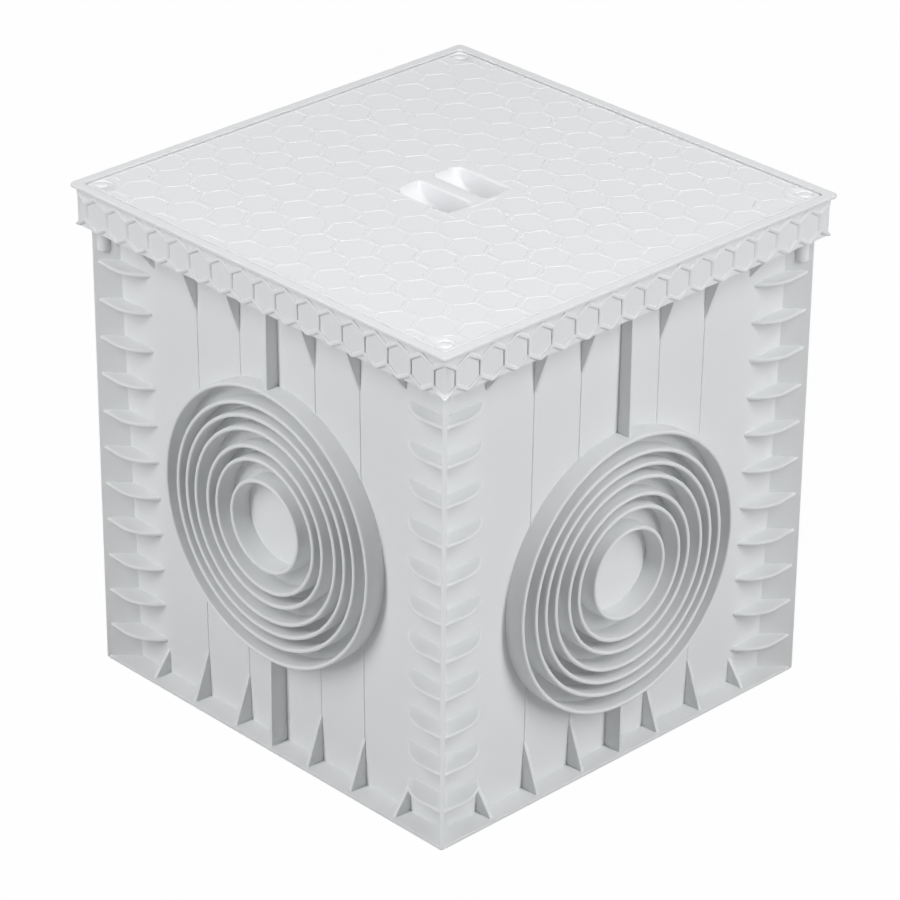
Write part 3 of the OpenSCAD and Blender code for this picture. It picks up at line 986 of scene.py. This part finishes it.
def screw_mark(bm, x, y):
    """A round groove with a low dome in it; returns its border."""
    sizes = bpy.context.scene.chamber_lid
    loops = [[bm.verts.new((a, b, height * sizes.spot_depth))
              for a, b in circle(x, y, reach * sizes.spot_r, 40)] for reach, height in SCREW_MARK]
    join_loops(bm, loops)
    bm.faces.new(loops[-1])
    return loops[0]


def area(cell):
    """Area of a cell."""
    points = [p for p, _ in cell]
    return sum(a[0] * b[1] - b[0] * a[1] for a, b in zip(points, points[1:] + points[:1])) / 2


def clear_of(cell, half_x, half_y, cx=0.0, cy=0.0):
    """The largest part of a cell that lies on one side of a rectangle."""
    points = [p for p, _ in cell]
    if (min(p[0] for p in points) >= cx + half_x or max(p[0] for p in points) <= cx - half_x
            or min(p[1] for p in points) >= cy + half_y or max(p[1] for p in points) <= cy - half_y):
        return cell
    parts = [clip(cell, 1, 0, cx - half_x), clip(cell, -1, 0, -cx - half_x),
             clip(cell, 0, 1, cy - half_y), clip(cell, 0, -1, -cy - half_y)]
    return max(parts, key=lambda part: area(part) if part else 0.0)


class CHAMBER_OT_lid(bpy.types.Operator):
    """Drop-in lid with hexagon cells, screw marks, grip and stiffening ribs"""
    bl_idname = "chamber.lid"
    bl_label = "Lid"

    def execute(self, context):
        sizes, relief, ribs = context.scene.chamber_lid, context.scene.chamber_relief, context.scene.chamber_ribs
        half, height = LID_HIGH[0], LID_HIGH[2] - LID_LOW[2]
        field = half - relief.border
        screw = half - ribs.screw_inset
        guard = sizes.spot_r + ribs.screw_inset - relief.border + 0.5 * MM
        margin = 0.15 * MM
        patch_x = sizes.grip_w / 2 + sizes.grip_round + margin
        patch_y = sizes.grip_l / 2 + sizes.grip_round + margin
        smallest = 0.12  # a cell cut down to less than this share of a whole one is left out
        pitch = relief.lid_pitch
        side = pitch / math.sqrt(3)
        levels = [({"strip": relief.strip_w / 2 + slope, "cut": slope}, z)
                  for slope, z in ((0.0, 0.0), (relief.cell_slope, -relief.cell_depth))]

        def cells():
            """Hexagons that fill the field, cut off by its border, the screw marks and the grip."""
            whole_area = area([(p, "strip") for p in hexagon(0, 0, side)])
            rows, columns = int(field / (1.5 * side)), int(field / pitch) + 1
            for row in range(-rows, rows + 1):
                shift = 0.5 if row % 2 == 0 else 0.0
                for column in range(-columns, columns + 1):
                    cell = [(p, "strip") for p in hexagon((column + shift) * pitch, 1.5 * side * row, side)]
                    for a, b in ((1, 0), (-1, 0), (0, 1), (0, -1)):
                        cell = clip(cell, a, b, field) if cell else cell
                    for x in (-1, 1):
                        for y in (-1, 1):
                            cell = clear_of(cell, guard, guard, x * field, y * field) if cell else cell
                    cell = clear_of(cell, patch_x, patch_y) if cell else cell
                    if cell and area(cell) > smallest * whole_area and inset(cell, levels[-1][0]):
                        yield cell

        def build(bm):
            holes = [sink(bm, cell, levels, flat) for cell in cells()]
            for edge in bm.edges:
                edge.smooth = False
            holes += [screw_mark(bm, x * screw, y * screw) for x in (-1, 1) for y in (-1, 1)]
            holes += [pocket(bm, hand) for hand in (-1, 1)]
            steps = 5
            turns = [quarters(i / steps) for i in range(steps + 1)]
            wall = [(half - sizes.edge_r * (1 - math.sin(turn)), -sizes.edge_r * (1 - math.cos(turn)))
                    for turn in turns]
            wall += [(half, -height), (half - sizes.wall_t, -height), (half - sizes.wall_t, -sizes.plate_t)]
            loops = [[bm.verts.new((x, y, z)) for x, y in
                      rounded_square(reach, max(0.5 * MM, sizes.corner_r - (half - reach)))] for reach, z in wall]
            join_loops(bm, loops)
            fill_between(bm, loops[0], holes)
            fill_between(bm, loops[-1], [pocket_shell(bm, hand) for hand in (-1, 1)])
            weld = 0.002 * MM
            bmesh.ops.remove_doubles(bm, verts=bm.verts, dist=weld)
            bmesh.ops.recalc_face_normals(bm, faces=bm.faces)
            stiffen(bm)
            crisp = math.radians(50)
            for edge in bm.edges:
                if len(edge.link_faces) == 2 and edge.calc_face_angle(0.0) > crisp:
                    edge.smooth = False
            bmesh.ops.translate(bm, verts=bm.verts, vec=(0, 0, LID_HIGH[2]))

        def stiffen(bm):
            """Ribs under the plate, both ways, which stop at the pockets."""
            end, t = half - sizes.wall_t / 2, sizes.wall_t / 2
            low, high = -sizes.plate_t - sizes.rib_h, -sizes.plate_t / 2
            for i in range(1, sizes.rib_count + 1):
                at = (i - (sizes.rib_count + 1) / 2) * 2 * half / (sizes.rib_count + 1)
                for across, along in ((sizes.grip_w / 2, sizes.grip_l / 2), (sizes.grip_l / 2, sizes.grip_w / 2)):
                    stop = along + sizes.grip_t / 2
                    for start, finish in (((-end, -stop), (stop, end)) if abs(at) < across else ((-end, end),)):
                        strip = [(at - t, start), (at + t, start), (at + t, finish), (at - t, finish)]
                        if across == sizes.grip_l / 2:
                            strip = [(y, x) for x, y in strip]
                        prism(bm, strip, low, high, flat)

        fit_out(plain_copy(add_mesh("lid_moulding", build), "lid_moulding"), lid_plastic(), "lid")
        return {"FINISHED"}


# ---------------------------------------------------------------- studio

class CHAMBER_OT_studio(bpy.types.Operator):
    """Pale floor, soft lamps and camera"""
    bl_idname = "chamber.studio"
    bl_label = "Studio"

    def execute(self, context):
        studio = context.scene.chamber_studio
        scene = context.scene
        scene.view_settings.view_transform = "Standard"

        world = bpy.data.worlds.new("studio")
        scene.world = world
        graph = Graph(world)
        seen = graph.node("ShaderNodeLightPath", output="Is Camera Ray")
        even = graph.node("ShaderNodeBackground", inputs={"Color": (1, 1, 1, 1), "Strength": studio.ambient})
        white = graph.node("ShaderNodeBackground", inputs={"Color": (1, 1, 1, 1), "Strength": 1.0})
        shown = graph.node("ShaderNodeMixShader", inputs={0: seen, 1: even, 2: white})
        graph.node("ShaderNodeOutputWorld", inputs={"Surface": shown})

        floor_half, corner, depth, gap = 4.0, 0.5, 20 * MM, 0.2 * MM
        floor = add_mesh("studio_floor", lambda bm: prism(
            bm, rounded_square(floor_half, corner), CAD_LOW[2] - depth, CAD_LOW[2] - gap, flat))
        material = bpy.data.materials.new("studio_floor")
        graph = Graph(material)
        seen = graph.node("ShaderNodeLightPath", output="Is Camera Ray")
        paint = graph.node("ShaderNodeBsdfPrincipled", inputs={"Base Color": (0.5, 0.5, 0.5, 1), "Roughness": 0.9})
        glow = graph.node("ShaderNodeEmission", inputs={"Color": (1, 1, 1, 1), "Strength": 1.0})
        shown = graph.node("ShaderNodeMixShader", inputs={0: seen * FLOOR_WHITE, 1: paint, 2: glow})
        graph.node("ShaderNodeOutputMaterial", inputs={"Surface": shown})
        floor.data.materials.append(material)

        overhead = math.radians(86)
        for name, turn, rise, power in (
                ("lamp_left", 172, studio.lamp_elevation, studio.left_power),
                ("lamp_right", 278, studio.lamp_elevation, studio.right_power),
                ("lamp_back", 45, studio.lamp_elevation, studio.back_power),
                ("lamp_top", 225, overhead, studio.top_power)):
            self.lamp(name, math.radians(turn), rise, power)

        camera = bpy.data.objects.new("camera", bpy.data.cameras.new("camera"))
        scene.collection.objects.link(camera)
        a, e = studio.azimuth, studio.elevation
        back = Vector((math.sin(a) * math.cos(e), -math.cos(a) * math.cos(e), math.sin(e)))
        camera.location = Vector(studio.aim) + back * studio.distance
        camera.rotation_mode = "QUATERNION"
        level = (-back).to_track_quat("-Z", "Y")
        camera.rotation_quaternion = level @ Matrix.Rotation(studio.roll, 3, "Z").to_quaternion()
        camera.data.lens = studio.lens
        camera.data.sensor_width = 36.0
        scene.camera = camera
        return {"FINISHED"}

    def lamp(self, name, turn, rise, power):
        """A soft lamp at a turn about the upright axis and an angle of rise, facing the middle of the chamber."""
        studio = bpy.context.scene.chamber_studio
        away = Vector((math.cos(turn) * math.cos(rise), math.sin(turn) * math.cos(rise), math.sin(rise)))
        data = bpy.data.lights.new(name, "AREA")
        data.shape = "RECTANGLE"
        data.size, data.size_y = studio.lamp_w, studio.lamp_h
        data.energy = power
        made = bpy.data.objects.new(name, data)
        made.location = Vector((0, 0, (CAD_LOW[2] + CAD_HIGH[2]) / 2)) + away * studio.lamp_distance
        made.rotation_mode = "QUATERNION"
        made.rotation_quaternion = (-away).to_track_quat("-Z", "Y")
        bpy.context.scene.collection.objects.link(made)


# ---------------------------------------------------------------- panel and run

class CHAMBER_PT_panel(bpy.types.Panel):
    """Buttons and sizes of the chamber"""
    bl_label = "Inspection chamber"
    bl_idname = "CHAMBER_PT_panel"
    bl_space_type = "VIEW_3D"
    bl_region_type = "UI"
    bl_category = "Chamber"

    def draw(self, context):
        for operator in OPERATORS:
            self.layout.operator(operator.bl_idname)
        for name, group in SETTINGS.items():
            box = self.layout.box()
            box.label(text=group.__doc__)
            for key in group.__annotations__:
                box.prop(getattr(context.scene, name), key)


SETTINGS = {
    "chamber_sizes": ChamberSizes, "chamber_ribs": RibSizes, "chamber_rings": RingSizes,
    "chamber_relief": ReliefSizes, "chamber_lid": LidSizes, "chamber_finish": FinishLook,
    "chamber_studio": StudioLook,
}
OPERATORS = (CHAMBER_OT_box, CHAMBER_OT_fins, CHAMBER_OT_leaf_ribs, CHAMBER_OT_wall_ribs, CHAMBER_OT_rings,
             CHAMBER_OT_rim, CHAMBER_OT_skirt, CHAMBER_OT_lid, CHAMBER_OT_studio)


def register():
    for cls in (*SETTINGS.values(), *OPERATORS, CHAMBER_PT_panel):
        bpy.utils.register_class(cls)
    for name, group in SETTINGS.items():
        setattr(bpy.types.Scene, name, bpy.props.PointerProperty(type=group))


def unregister():
    for name in SETTINGS:
        delattr(bpy.types.Scene, name)
    for cls in reversed((*SETTINGS.values(), *OPERATORS, CHAMBER_PT_panel)):
        bpy.utils.unregister_class(cls)


def main():
    register()
    for operator in OPERATORS:
        group, name = operator.bl_idname.split(".")
        getattr(getattr(bpy.ops, group), name)()


if __name__ == "__main__":
    main()
